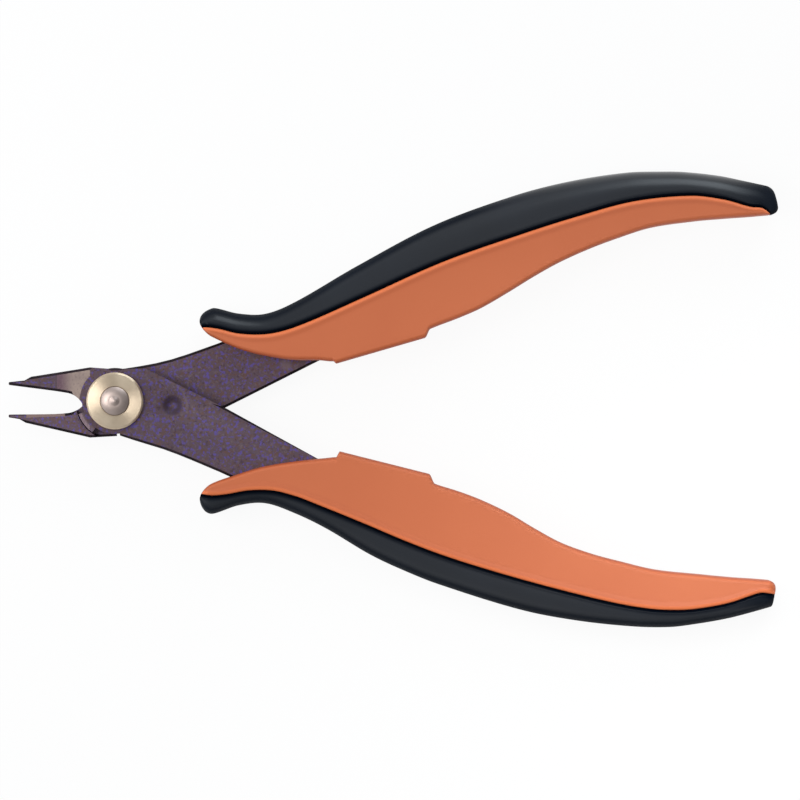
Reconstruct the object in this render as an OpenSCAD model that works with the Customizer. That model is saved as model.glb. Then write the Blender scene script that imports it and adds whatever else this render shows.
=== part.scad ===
// End cutting nippers: two lapped steel blades on one rivet, with two-shot moulded grips.
// Millimetres. The rivet's axis is Z, the jaws point along -X and the grips along +X, and the
// tool lies on the plane z = 0. It is drawn open, against its stop.

/* [Pivot] */
// Diameter of the rivet's shank
rivet_d = 5; // [4:0.1:5.6]
// Diameter of the rivet's factory head, under the tool
rivet_head_d = 8; // [7:0.1:9.5]
// Chamfer round the factory head
rivet_head_chamfer = 0.25; // [0.1:0.05:0.4]
// Height of the closed rivet end above the top washer
rivet_end_h = 0.7; // [0.4:0.1:1.2]
// Chamfer round the closed rivet end
rivet_end_chamfer = 0.25; // [0.1:0.05:0.35]
// Swell of the closed end into the washer's countersink
rivet_swell = 0.15; // [0.1:0.01:0.2]
// Diameter of the turning nib in the middle of the closed end
nib_d = 1; // [0.6:0.1:1.6]
// Height of the turning nib
nib_h = 0.25; // [0.1:0.05:0.5]
// Outer diameter of both washers
washer_d = 10; // [9:0.1:11]
// Thickness of each washer
washer_t = 1.1; // [0.8:0.1:1.4]
// Chamfer on a washer's outer rim, and depth of its countersink
washer_chamfer = 0.3; // [0.2:0.05:0.4]
// Radial running clearance of the shank in its bores
pivot_clearance = 0.04; // [0.02:0.01:0.08]

/* [Blades] */
// Thickness of each blade plate
plate_t = 3; // [2.6:0.1:3.3]
// Running gap between the plates, and under the top washer
blade_gap = 0.05; // [0.02:0.01:0.1]
// Radius of the round hubs that lap over each other
hub_r = 5.8; // [5.5:0.1:6.2]
// How far the flange beside each throat stands out from the hub
flange_w = 1; // [0.6:0.1:1.2]
// Radial gap between a flange and the shoulder cut in the other blade's jaw
shoulder_gap = 0.2; // [0.1:0.05:0.4]
// Width of the flat land that the ground ramp leaves round each washer
land_w = 1.2; // [0.8:0.1:1.6]

/* [Jaws] */
// Distance from the pivot to the cutting edges
jaw_reach = 18.7; // [17:0.1:21]
// Gap between the two cutting edges with the tool open
edge_gap = 5.2; // [4.6:0.1:5.6]
// How far the middle of that gap lies above the pivot
edge_mid = 0.2; // [0:0.05:0.3]
// Length of the cutting edges, across the plates
edge_w = 4.6; // [4:0.1:5.4]
// Thickness of the lip at its cutting edge
lip_t = 0.5; // [0.4:0.05:0.8]
// Thickness of the lip at its root
lip_root_t = 0.8; // [0.6:0.05:1.1]
// Length of the upper jaw's lip
upper_lip = 2.8; // [2.2:0.1:3.2]
// Length of the lower jaw's lip
lower_lip = 1.9; // [1.5:0.1:2.8]
// Length of the sloped step behind each lip
step_len = 1.1; // [0.6:0.1:1.6]
// Height of the sloped step behind each lip
step_h = 0.65; // [0.4:0.05:0.9]
// Back of the upper jaw at its root, above the pivot
upper_back = 5.9; // [5.5:0.05:6]
// Back of the lower jaw at its root, below the pivot
lower_back = 6.45; // [6.2:0.05:6.7]
// Crown of the throat's arch in the upper jaw, above the pivot
upper_throat = 1.45; // [1.2:0.05:1.6]
// Crown of the throat's arch in the lower jaw, below the pivot
lower_throat = 2.2; // [2:0.05:2.3]
// Radius of the throat's arch in the upper jaw
upper_arch_r = 3.7; // [3.2:0.1:4.2]
// Radius of the throat's arch in the lower jaw
lower_arch_r = 4.6; // [4.2:0.1:5]
// Distance from the hub to the crown of each arch
arch_len = 3.2; // [2.8:0.1:3.6]
// Start of the ramp ground on each jaw's outer face, ahead of the pivot
ramp_start = 4.4; // [3.6:0.1:5]
// Length of the ground ramp
ramp_len = 5.8; // [4:0.1:7]
// Width of the bevel ground along each jaw's inner edge
bevel = 0.6; // [0.3:0.05:0.9]

/* [Arms] */
// Place along X of the notch where the two arms part
notch_x = 19.3; // [18:0.1:21]
// Place along Y of the notch
notch_y = -1.2; // [-1.6:0.1:-0.4]
// Length of each tang inside its grip, from the grip's nose
tang_len = 60; // [52:1:68]
// Diameter of the holes that lock the grips on the tangs
lock_d = 2.6; // [2:0.1:3]
// Radial gap between a lock hole and the moulded plug in it
lock_gap = 0.05; // [0.02:0.01:0.1]

/* [Opening stop] */
// Distance of the pressed stop from the pivot
stop_r = 10.15; // [9.6:0.05:11]
// Direction of the pressed stop from the pivot, in degrees
stop_deg = -4.5; // [-8:0.5:0]
// Diameter of the pressed dimple inside its rim
stop_d = 3.4; // [2.8:0.1:3.8]
// Diameter of the dimple's floor, and of the boss that it raises on the far side
boss_d = 1.5; // [1.2:0.1:2]
// Depth of the dimple, and height of the boss
stop_h = 0.9; // [0.6:0.1:1.2]
// Depth of the dimple's sloping rim
rim_h = 0.3; // [0.2:0.05:0.5]
// Width of the dimple's sloping rim
rim_w = 0.9; // [0.4:0.1:1.2]
// Gap round the boss in its pocket
stop_gap = 0.1; // [0.05:0.05:0.2]

/* [Return spring] */
// Diameter of the spring wire
wire_d = 0.8; // [0.5:0.05:0.9]
// Mean radius of the spring's ring
coil_r = 3.6; // [3.45:0.05:4]
// Opening of the ring between its two bent ends, in degrees
coil_gap_deg = 60; // [40:5:90]
// Bend radius at the ends of the ring
bend_r = 0.8; // [0.6:0.1:1]
// Straight length of each bent end
leg_len = 0.7; // [0.3:0.1:1]
// Gap round the wire in its pockets
wire_gap = 0.12; // [0.05:0.01:0.2]

/* [Grips] */
// Length that the grip's curves are laid out over
grip_len = 104; // [98:1:112]
// How far short of that length the upper grip ends
upper_trim = 0.4; // [0:0.1:2]
// How far short of that length the lower grip ends
lower_trim = 1.6; // [0:0.1:2]
// Thickness of each grip
grip_t = 10.4; // [10:0.1:11.6]
// Nose of the upper grip along X
upper_nose_x = 14.7; // [14:0.1:15.6]
// Nose of the upper grip along Y
upper_nose_y = 14.6; // [14:0.1:15.2]
// Slant of the upper grip in degrees
upper_slant = 13; // [12:0.5:14]
// Nose of the lower grip along X
lower_nose_x = 14.75; // [14:0.05:15.6]
// Nose of the lower grip along Y, below the pivot
lower_nose_y = 18; // [17.4:0.1:18.6]
// Slant of the lower grip in degrees
lower_slant = 10; // [9:0.5:11]
// Rounding of the nose, across the thickness and at the inner edge
nose_r = 1.6; // [1:0.1:1.7]
// Rounding of the tail, across the thickness and at the inner edge
tail_r = 1.5; // [0.8:0.1:1.8]
// Rounding of the back's corner at the nose
nose_corner = 0.6; // [0.3:0.1:1]
// Rounding of the upper back's corner at the tail
upper_corner = 1.1; // [0.3:0.1:1.4]
// Rounding of the lower back's corner at the tail
lower_corner = 0.3; // [0.2:0.1:1.4]
// Rounding of the body's inner edges, along the faces
edge_in = 0.8; // [0.5:0.1:1.5]
// Rounding of the body's inner edges, across the thickness
edge_down = 1.3; // [0.8:0.1:2.4]
// Rounding of the body's edge beside the black back
seam_r = 0.6; // [0.3:0.05:0.9]
// How far the black back lies below the body's faces at the seam
back_drop = 0.3; // [0.1:0.05:0.6]
// Start of the upper finger pad, from the nose
upper_pad_start = 21.3; // [20:0.1:22.5]
// Start of the lower finger pad, from the nose
lower_pad_start = 22.3; // [21:0.1:23.5]
// Length of each finger pad
pad_len = 18; // [14:0.1:19]
// Height of each finger pad at its start, from the grip's axis
pad_high = 13.3; // [13:0.05:13.6]
// Fall of the upper finger pad's straight edge over its length
upper_pad_fall = 1; // [0.4:0.05:1.4]
// Fall of the lower finger pad's straight edge over its length
lower_pad_fall = 1.3; // [0.4:0.05:1.4]

/* [Hidden] */
$fn = 64;
steel = [0.33, 0.27, 0.31];
turned_steel = [0.72, 0.73, 0.75];
spring_steel = [0.55, 0.56, 0.58];
orange = [0.88, 0.47, 0.25];
black = [0.14, 0.16, 0.19];
past = 1;

// Levels across the thickness, from the plane that the tool lies on
mid_z = grip_t / 2;
plate_low = blade_gap / 2;
under_z = mid_z - plate_low - plate_t;
top_z = mid_z + plate_low + plate_t;
head_h = under_z - washer_t;
washer_z = top_z + blade_gap;

// Pivot and turn from the open stop to the closed jaws, less the gap that the edges keep
bore_r = rivet_d / 2 + pivot_clearance;
shoulder_r = hub_r + flange_w + shoulder_gap;
upper_edge = edge_gap / 2 + edge_mid;
lower_edge = edge_gap / 2 - edge_mid;
edge_rest_gap = 0.05;
closing_deg = atan(upper_edge / jaw_reach) + atan(lower_edge / jaw_reach) - asin(edge_rest_gap / jaw_reach);

// Return spring
coil_half = 180 - coil_gap_deg / 2;
wire_pocket = wire_d / 2 + wire_gap;

// Curves of the moulded grips: share of their length, then offset outwards from their axis
upper_outer = [[0, -0.05], [0.01, 0.72], [0.02, 1.06], [0.03, 1.08], [0.067, -0.8], [0.11, -1.9],
    [0.163, -1.1], [0.28, 2.65], [0.423, 6.6], [0.567, 8.5], [0.663, 8.75], [0.76, 8], [0.82, 6.75],
    [0.856, 5.8], [0.91, 3.85], [0.95, 1.95], [1, -0.5]];
lower_outer = [[0, -0.15], [0.01, 1.05], [0.02, 1.5], [0.03, 1.25], [0.067, -0.85], [0.11, -2],
    [0.163, -1.15], [0.22, 0.55], [0.3, 3.7], [0.36, 5.4], [0.423, 6.75], [0.567, 8.65], [0.663, 8.8],
    [0.76, 8.1], [0.82, 7.1], [0.856, 6], [0.91, 4], [0.95, 2.15], [1, -0.4]];
upper_inner = [[0, -2.55], [0.038, -5.7], [0.06, -7.25], [0.087, -8.75], [0.135, -10.8], [0.183, -12.05],
    [0.205, -12.75], [0.25, -12.95], [0.32, -12.1], [0.385, -10.9], [0.43, -10.25], [0.47, -9.45],
    [0.52, -7.85], [0.567, -6.2], [0.615, -4.75], [0.67, -3.6], [0.72, -2.9], [0.78, -2.4],
    [0.856, -3.05], [0.91, -3.85], [0.95, -4.5], [1, -5.2]];
lower_inner = [[0, -2.65], [0.02, -4.15], [0.045, -5.6], [0.087, -7.9], [0.12, -9.25], [0.16, -10.6],
    [0.195, -11.6], [0.215, -12.15], [0.25, -12.4], [0.32, -11.9], [0.39, -10.5], [0.43, -9.95],
    [0.47, -9.15], [0.52, -7.7], [0.567, -5.85], [0.615, -4.2], [0.67, -3.2], [0.72, -2.75],
    [0.78, -2.4], [0.856, -2.95], [0.91, -3.4], [0.95, -3.85], [1, -4.3]];
upper_seam = [[0, -1.85], [0.01, -1.98], [0.03, -2.76], [0.06, -4.28], [0.1, -5.4], [0.135, -5.6],
    [0.183, -5], [0.28, -3.05], [0.423, -0.12], [0.567, 1.55], [0.663, 2.35], [0.76, 2.7],
    [0.856, 1.4], [0.91, -0.6], [0.95, -2.85], [0.97, -3.6], [0.98, -4.9]];
lower_seam = [[0, -1.75], [0.02, -1.8], [0.045, -2.5], [0.08, -3.8], [0.12, -4.5], [0.16, -4.2],
    [0.195, -3.5], [0.28, -1.6], [0.36, 0.3], [0.43, 1.65], [0.52, 2.85], [0.615, 3.8], [0.72, 4.5],
    [0.78, 4.45], [0.82, 3.95], [0.856, 3.1], [0.91, 1.05], [0.95, -1.2], [0.962, -1.75], [0.985, -1.85]];
// Share of the length at which the upper seam runs out at the inner edge and ends the upper body
upper_body_share = 0.979;
// Each grip: outer edge, inner edge, seam, length, end of its body, start and fall of its pad, tail corner
upper_grip = [upper_outer, upper_inner, upper_seam, grip_len - upper_trim, upper_body_share * grip_len,
    upper_pad_start, upper_pad_fall, upper_corner];
lower_grip = [lower_outer, lower_inner, lower_seam, grip_len - lower_trim, grip_len - lower_trim,
    lower_pad_start, lower_pad_fall, lower_corner];
function whole_len(g) = g[3];
function body_end(g) = g[4];
function pad_start(g) = g[5];
function pad_end(g) = g[5] + pad_len;
function pad_fall(g) = g[6];
function tail_corner(g) = g[7];
least_w = 0.12;
pad_step_in = 0.5;
pad_step_out = 1.4;
back_power = 0.8;
// Most that a rounding takes of the body's width or half thickness
seam_share = 0.3;
edge_share = 0.5;
down_share = 0.8;

// Arms as seen from their own blade's face, with the jaw above the pivot and the arm below: the arm's
// outer edge, the tang's edges in the grip's frame, and the arm's inner edge in that frame
upper_arm_edge = [[-1, -5.4], [3.3, -5.95], [9.6, -7.25], [18.4, -10.25], [20.6, -11.1]];
lower_arm_edge = [[0.9, -6.1], [3.3, -6.9], [9.6, -8.88], [18.4, -12.5], [20.8, -13.6]];
tang_edges = [[12, -6.7], [24, -5.4], [40, -2], [tang_len - 1.5, 0.2], [tang_len, -0.8],
    [tang_len, -2], [tang_len - 1.5, -3.1], [40, -6.6], [28, -9.4]];
upper_arm_root = [21.2, -11.5];
lower_arm_root = [21.2, -10.65];
lock_holes = [[30, -6.7], [47, -3.2]];
// Each jaw, from its own blade's face: cutting edge, length of lip, middle of the inner face, crown and
// radius of the throat's arch, back, and where the back runs into the hub
upper_jaw = [upper_edge, upper_lip, [-10.4, 1.72], upper_throat, upper_arch_r, upper_back, -1];
lower_jaw = [lower_edge, lower_lip, [-10.4, 2.3], lower_throat, lower_arch_r, lower_back, 0.2];
// Where each blade's crossing edge leaves its hub on the way to the notch
upper_crossing = [5.2, 5.1];
lower_crossing = [5.2, 5.75];
// Fall of a blade's straight back between its crossing edge and its pivot
head_slope = 0.25;
// Stretch of the throat's arch, from inside the hub to the jaw's inner face, and of the flange, in degrees
arch_from = 15;
arch_to = 78;
flange_from = 200;
flange_to = 234;
// Ends of the ground bevel: a share of the way into the hollow face, and a run past its middle
bevel_from = 0.4;
bevel_run_out = [1.6, -0.2];

// Value at x of a smooth curve through points with rising x
function slope(pts, i) =
    let (a = max(i - 1, 0), b = min(i + 1, len(pts) - 1)) (pts[b].y - pts[a].y) / (pts[b].x - pts[a].x);
function span(pts, x, i = 0) = i >= len(pts) - 2 || x < pts[i + 1].x ? i : span(pts, x, i + 1);
function curve(pts, x) =
    let (i = span(pts, x), w = pts[i + 1].x - pts[i].x, t = (x - pts[i].x) / w, u = 1 - t)
    (1 + 2 * t) * u * u * pts[i].y + t * u * u * w * slope(pts, i)
    + t * t * (3 - 2 * t) * pts[i + 1].y - t * t * u * w * slope(pts, i + 1);
function curve_points(pts, n) =
    let (a = pts[0].x, b = pts[len(pts) - 1].x)
    [for (i = [0 : n]) let (x = a + (b - a) * i / n) [x, curve(pts, x)]];
function turn(p, deg) = [p.x * cos(deg) - p.y * sin(deg), p.x * sin(deg) + p.y * cos(deg)];
function reversed(v) = [for (i = [len(v) - 1 : -1 : 0]) v[i]];

// The edges of a grip at x from its nose, with round ends and the straight-edged finger pad
function end_inset(d, r) = d >= r ? 0 : r - sqrt(max(0, r * r - (r - d) * (r - d)));
function ends(g, x) = end_inset(x, nose_r) + end_inset(whole_len(g) - x, tail_r);
function corners(g, x) = end_inset(x, nose_corner) + end_inset(whole_len(g) - x, tail_corner(g));
function ease(t) = let (c = min(max(t, 0), 1)) c * c * (3 - 2 * c);
function pad_share(g, x) = ease((x - pad_start(g)) / pad_step_in) * ease((pad_end(g) - x) / pad_step_out);
function pad_y(g, x) = pad_fall(g) * (x - pad_start(g)) / pad_len - pad_high;
function inner_y(g, x) =
    let (y = curve(g[1], x / grip_len)) y + (pad_y(g, x) - y) * pad_share(g, x) + ends(g, x);
function outer_y(g, x) =
    max(curve(g[0], x / grip_len) - corners(g, x), inner_y(g, x) + 2 * least_w);
function seam_y(g, x) =
    min(max(curve(g[2], x / grip_len), inner_y(g, x) + least_w), outer_y(g, x) - least_w);
function half_t(g, x) = grip_t / 2 - ends(g, x);

// Stations along the grip, closer together at the round ends and at the pad's two steps
function even(a, b, n) = [for (i = [0 : n - 1]) a + (b - a) * i / n];
function arc_steps(r, n) = [for (i = [0 : n - 1]) r * (1 - cos(90 * i / n))];
function stations(g) = concat(
    arc_steps(nose_r, 5),
    even(nose_r, pad_start(g), 14),
    even(pad_start(g), pad_start(g) + pad_step_in, 4),
    even(pad_start(g) + pad_step_in, pad_end(g) - pad_step_out, 6),
    even(pad_end(g) - pad_step_out, pad_end(g), 4),
    even(pad_end(g), whole_len(g) - tail_r, 26),
    [for (d = reversed(arc_steps(tail_r, 5))) whole_len(g) - d]);
function body_stations(g) =
    concat([for (x = stations(g)) if (x < body_end(g) - least_w) x], [body_end(g)]);
function back_stations(g) =
    concat(body_stations(g), [for (x = stations(g)) if (x > body_end(g) + least_w) x]);

// Half of a body section: seam wall, rounded edge, face, rounded edge, inner wall
function body_half(g, x) =
    let (h = half_t(g, x), s = seam_y(g, x), i = inner_y(g, x), w = s - i)
    let (rs = min(seam_r, w * seam_share), ri = min(edge_in, w * edge_share))
    let (rd = min(edge_down, h * down_share))
    concat(
        [for (a = [0 : 30 : 90]) [s - rs + rs * cos(a), h - rs + rs * sin(a)]],
        [for (a = [0 : 18 : 90]) [i + ri - ri * sin(a), h - rd + rd * cos(a)]]);

// Half of a back section: seam wall, then a full round back to the outermost line
function back_half(g, x) =
    let (h = half_t(g, x) - back_drop, s = x > body_end(g) ? inner_y(g, x) : seam_y(g, x))
    let (w = outer_y(g, x) - s)
    concat(
        [[s, h - back_drop]],
        [for (a = [8 : 13.5 : 80]) [s + w * pow(sin(a), back_power), h * pow(cos(a), back_power)]],
        [[s + w, 0]]);

function below(half) = [for (p = reversed(half)) [p.x, -p.y]];
function body_ring(g, x) = let (half = body_half(g, x)) concat(half, below(half));
function back_ring(g, x) =
    let (half = back_half(g, x), low = below(half))
    reversed(concat(half, [for (i = [1 : len(low) - 1]) low[i]]));

// Closed skin over one ring of points at each station
module skin(rings, xs) {
    m = len(rings[0]);
    n = len(rings);
    points = [for (k = [0 : n - 1]) for (p = rings[k]) [xs[k], p.x, p.y]];
    sides = [for (k = [0 : n - 2]) for (j = [0 : m - 1]) let (a = k * m + j, b = k * m + (j + 1) % m)
        for (f = [[a, b + m, b], [a, a + m, b + m]]) f];
    nose = [for (j = [0 : m - 1]) j];
    tail = [for (j = [m - 1 : -1 : 0]) (n - 1) * m + j];
    polyhedron(points, concat([nose], sides, [tail]), convexity = 6);
}

// The two halves are drawn alike, from their own blade's face, and the bottom one is turned over
module top_half() {
    translate([0, 0, mid_z]) children();
}
module bottom_half() {
    translate([0, 0, mid_z]) rotate([180, 0, 0]) children();
}

// Grip's frame within a half, and points of that frame in plan
module at_grip(nose, slant) {
    translate([nose.x, -nose.y, 0]) rotate(-slant) rotate([180, 0, 0]) children();
}
function on_grip(p, nose, slant) = let (q = turn(p, slant)) [nose.x + q.x, -nose.y - q.y];
upper_nose = [upper_nose_x, upper_nose_y];
lower_nose = [lower_nose_x, lower_nose_y];

// Arm and tang in plan, with lock holes of the given diameter
module arm_plan(edge, root, nose, slant, notch, crossing, hole_d) {
    difference() {
        polygon(concat(
            curve_points(edge, 8),
            [for (p = concat(tang_edges, [root])) on_grip(p, nose, slant)],
            [notch, crossing, [0, crossing.y - head_slope], [0, 0]]));
        for (p = lock_holes) translate(on_grip(p, nose, slant)) circle(d = hole_d);
    }
}
module upper_arm(hole_d) {
    notch = [notch_x, -notch_y];
    arm_plan(upper_arm_edge, upper_arm_root, upper_nose, upper_slant, notch, upper_crossing, hole_d);
}
module lower_arm(hole_d) {
    notch = [notch_x, notch_y];
    arm_plan(lower_arm_edge, lower_arm_root, lower_nose, lower_slant, notch, lower_crossing, hole_d);
}

// Jaw in plan: arch of the throat, hollow inner face, lip, sloped step and back
module jaw_plan(jaw) {
    edge = jaw[0];
    step_x = -jaw_reach + jaw[1];
    arch_r = jaw[4];
    back = jaw[5];
    centre = [-hub_r - arch_len, jaw[3] - arch_r];
    steps = 8;
    arch = [for (i = [0 : steps]) let (a = arch_from + (arch_to - arch_from) * i / steps)
        centre + arch_r * [cos(a), sin(a)]];
    polygon(concat(
        [[0, 0]],
        [for (i = [0 : steps - 1]) arch[i]],
        reversed(curve_points([[-jaw_reach, edge], jaw[2], arch[steps]], steps)),
        [[-jaw_reach, edge + lip_t], [step_x, edge + lip_root_t],
            [step_x + step_len, edge + lip_root_t + step_h], [-ramp_start, back],
            [jaw[6], back - head_slope]]));
}

// Flange of the hub in plan, beside the throat
module flange_plan() {
    far = 2 * hub_r;
    intersection() {
        circle(r = hub_r + flange_w);
        polygon(concat([[0, 0]], [for (a = [flange_from, flange_to]) far * [cos(a), sin(a)]]));
    }
}

// One blade, seen from its own face: plate, lapped jaw, ramp ground up to the land round the washer,
// bore and spring pockets
module blade(jaw) {
    ramp_end = ramp_start + ramp_len;
    tip = jaw_reach + past;
    edge_z = edge_w / 2;
    plate_high = plate_low + plate_t;
    ramp = [[-ramp_start, plate_high], [-ramp_end, edge_z], [-tip, edge_z], [-tip, plate_high + past],
        [-ramp_start, plate_high + past]];
    difference() {
        union() {
            translate([0, 0, plate_low]) linear_extrude(plate_t) {
                circle(r = hub_r);
                flange_plan();
                jaw_plan(jaw);
                children();
            }
            difference() {
                translate([0, 0, -edge_z]) linear_extrude(edge_z + 2 * plate_low) jaw_plan(jaw);
                translate([0, 0, -edge_z - past]) cylinder(r = shoulder_r, h = edge_z + past + plate_low);
            }
        }
        difference() {
            rotate([90, 0, 0]) linear_extrude(4 * hub_r, center = true) polygon(ramp);
            cylinder(d = washer_d + 2 * land_w, h = plate_high + 2 * past);
        }
        inner_bevel(jaw);
        cylinder(r = bore_r, h = plate_high + past);
        cylinder(r = coil_r + wire_pocket + wire_gap, h = wire_pocket);
        rotate([180, 0, 0]) spring_end_pocket();
    }
}

// Bevel along the far edge of a jaw's inner face, from the throat to the lip
module inner_bevel(jaw) {
    edge = jaw[0];
    face = jaw[2];
    start = [-jaw_reach + jaw[1] + step_len, edge + (face.y - edge) * bevel_from];
    run = face + bevel_run_out - start;
    wedge = [[bevel, 0], [bevel, -past], [-past, -past], [-past, bevel], [0, bevel]];
    translate([start.x, start.y, -edge_w / 2]) rotate([0, 0, atan2(run.y, run.x)]) rotate([90, 0, 90])
        linear_extrude(norm(run)) polygon(wedge);
}

// End of the spring's ring, bent down into a blade, and the pocket that it lies in
module spring_end() {
    rotate(coil_half) {
        translate([coil_r, 0, -bend_r]) rotate([0, -90, 0]) rotate_extrude(angle = 90)
            translate([bend_r, 0]) circle(d = wire_d);
        translate([coil_r, bend_r, -bend_r - leg_len]) cylinder(d = wire_d, h = leg_len);
    }
}
module spring_end_pocket() {
    depth = bend_r + leg_len + wire_gap;
    rotate(coil_half) translate([coil_r - wire_pocket, -wire_pocket, -depth])
        cube([2 * wire_pocket, bend_r + 2 * wire_pocket, depth]);
}

// Ring sector that the stop's boss sweeps in the bottom blade, with a round seat at each end
module stop_pocket() {
    side = boss_d / 2 + stop_gap / 2;
    depth = stop_h + blade_gap;
    translate([0, 0, mid_z - plate_low - stop_h]) {
        rotate(stop_deg) rotate_extrude(angle = closing_deg)
            translate([stop_r - side, 0]) square([2 * side, depth]);
        for (a = [stop_deg, stop_deg + closing_deg])
            rotate(a) translate([stop_r, 0]) cylinder(d = boss_d + 2 * stop_gap, h = depth);
    }
}

// Dished dimple below its own level: flat floor, steep side and shallow rim
module stop_dimple() {
    r = stop_d / 2;
    rotate_extrude() polygon([[0, past], [0, -stop_h], [boss_d / 2, -stop_h], [r, -rim_h], [r + rim_w, 0],
        [r + rim_w, past]]);
}
module at_stop(z) {
    rotate(stop_deg) translate([stop_r, 0, z]) children();
}

module top_blade() {
    color(steel) difference() {
        union() {
            top_half() blade(upper_jaw) lower_arm(lock_d);
            at_stop(mid_z + plate_low - stop_h) cylinder(d = boss_d, h = 2 * stop_h);
        }
        at_stop(top_z) stop_dimple();
    }
}

module bottom_blade() {
    color(steel) difference() {
        bottom_half() blade(lower_jaw) upper_arm(lock_d);
        stop_pocket();
    }
}

module pivot_rivet() {
    head_r = rivet_head_d / 2;
    shank_r = rivet_d / 2;
    sink_z = washer_z + washer_t - washer_chamfer;
    end_z = washer_z + washer_t + rivet_end_h;
    end_r = shank_r - rivet_end_chamfer;
    color(turned_steel) rotate_extrude() polygon([[0, 0], [head_r - rivet_head_chamfer, 0],
        [head_r, rivet_head_chamfer], [head_r, head_h], [shank_r, head_h], [shank_r, sink_z],
        [shank_r + rivet_swell, sink_z + rivet_swell], [shank_r, sink_z + 2 * rivet_swell],
        [shank_r, end_z - rivet_end_chamfer], [end_r, end_z], [nib_d / 2, end_z],
        [nib_d / 3, end_z + nib_h], [0, end_z + nib_h]]);
}

// Washer with a chamfered rim and a countersunk bore, face up
module washer() {
    r = washer_d / 2;
    c = washer_chamfer;
    color(turned_steel) rotate_extrude() polygon([[bore_r, 0], [r, 0], [r, washer_t - c],
        [r - c, washer_t], [bore_r + c, washer_t], [bore_r, washer_t - c]]);
}
module top_washer() {
    translate([0, 0, washer_z]) washer();
}
module bottom_washer() {
    translate([0, 0, under_z]) rotate([180, 0, 0]) washer();
}

module return_spring() {
    color(spring_steel) translate([0, 0, mid_z]) {
        rotate(-coil_half) rotate_extrude(angle = 2 * coil_half)
            translate([coil_r, 0]) circle(d = wire_d);
        spring_end();
        rotate([180, 0, 0]) spring_end();
    }
}

// Pieces of a grip within their half, cut out for the tang that they are moulded on
module grip_body(g, nose, slant) {
    xs = body_stations(g);
    color(orange) difference() {
        at_grip(nose, slant) skin([for (x = xs) body_ring(g, x)], xs);
        translate([0, 0, plate_low]) linear_extrude(plate_t) children();
    }
}
module grip_back(g, nose, slant) {
    xs = back_stations(g);
    color(black) difference() {
        at_grip(nose, slant) skin([for (x = xs) back_ring(g, x)], xs);
        translate([0, 0, plate_low]) linear_extrude(plate_t) children();
    }
}
plug_d = lock_d - 2 * lock_gap;
module upper_grip_body() {
    bottom_half() grip_body(upper_grip, upper_nose, upper_slant) upper_arm(plug_d);
}
module upper_grip_back() {
    bottom_half() grip_back(upper_grip, upper_nose, upper_slant) upper_arm(plug_d);
}
module lower_grip_body() {
    top_half() grip_body(lower_grip, lower_nose, lower_slant) lower_arm(plug_d);
}
module lower_grip_back() {
    top_half() grip_back(lower_grip, lower_nose, lower_slant) lower_arm(plug_d);
}

top_blade();
bottom_blade();
pivot_rivet();
top_washer();
bottom_washer();
return_spring();
upper_grip_body();
upper_grip_back();
lower_grip_body();
lower_grip_back();
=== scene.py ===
"""End cutting nippers: smooth two-shot grips, blades with broken edges, turned pivot and a pale stage."""
import math

import bmesh
import bpy
import numpy as np
from bpy.props import FloatProperty, FloatVectorProperty, PointerProperty
from bpy.types import Operator, Panel, PropertyGroup
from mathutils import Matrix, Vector


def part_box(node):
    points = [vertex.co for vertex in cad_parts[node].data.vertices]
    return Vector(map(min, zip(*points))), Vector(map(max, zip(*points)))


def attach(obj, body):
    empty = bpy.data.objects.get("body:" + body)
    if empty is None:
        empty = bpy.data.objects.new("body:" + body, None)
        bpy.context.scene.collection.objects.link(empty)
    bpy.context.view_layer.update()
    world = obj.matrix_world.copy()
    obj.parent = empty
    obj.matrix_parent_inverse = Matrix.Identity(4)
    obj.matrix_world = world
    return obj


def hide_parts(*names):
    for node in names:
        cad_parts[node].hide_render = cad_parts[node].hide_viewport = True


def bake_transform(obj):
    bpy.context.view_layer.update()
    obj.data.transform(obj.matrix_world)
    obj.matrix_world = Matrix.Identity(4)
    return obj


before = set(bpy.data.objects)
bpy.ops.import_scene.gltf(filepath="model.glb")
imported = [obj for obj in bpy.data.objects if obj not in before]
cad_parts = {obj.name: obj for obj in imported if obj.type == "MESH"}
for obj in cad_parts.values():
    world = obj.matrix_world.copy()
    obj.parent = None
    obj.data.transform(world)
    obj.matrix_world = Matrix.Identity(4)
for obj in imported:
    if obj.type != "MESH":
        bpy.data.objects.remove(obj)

bl_info = {
    "name": "End Cutting Nippers",
    "version": (1, 0, 0),
    "blender": (4, 5, 0),
    "location": "View3D > Sidebar > Nippers",
    "description": "Dresses the packed nippers: grips, blades, pivot, spring and stage",
    "category": "Object",
}

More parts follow.
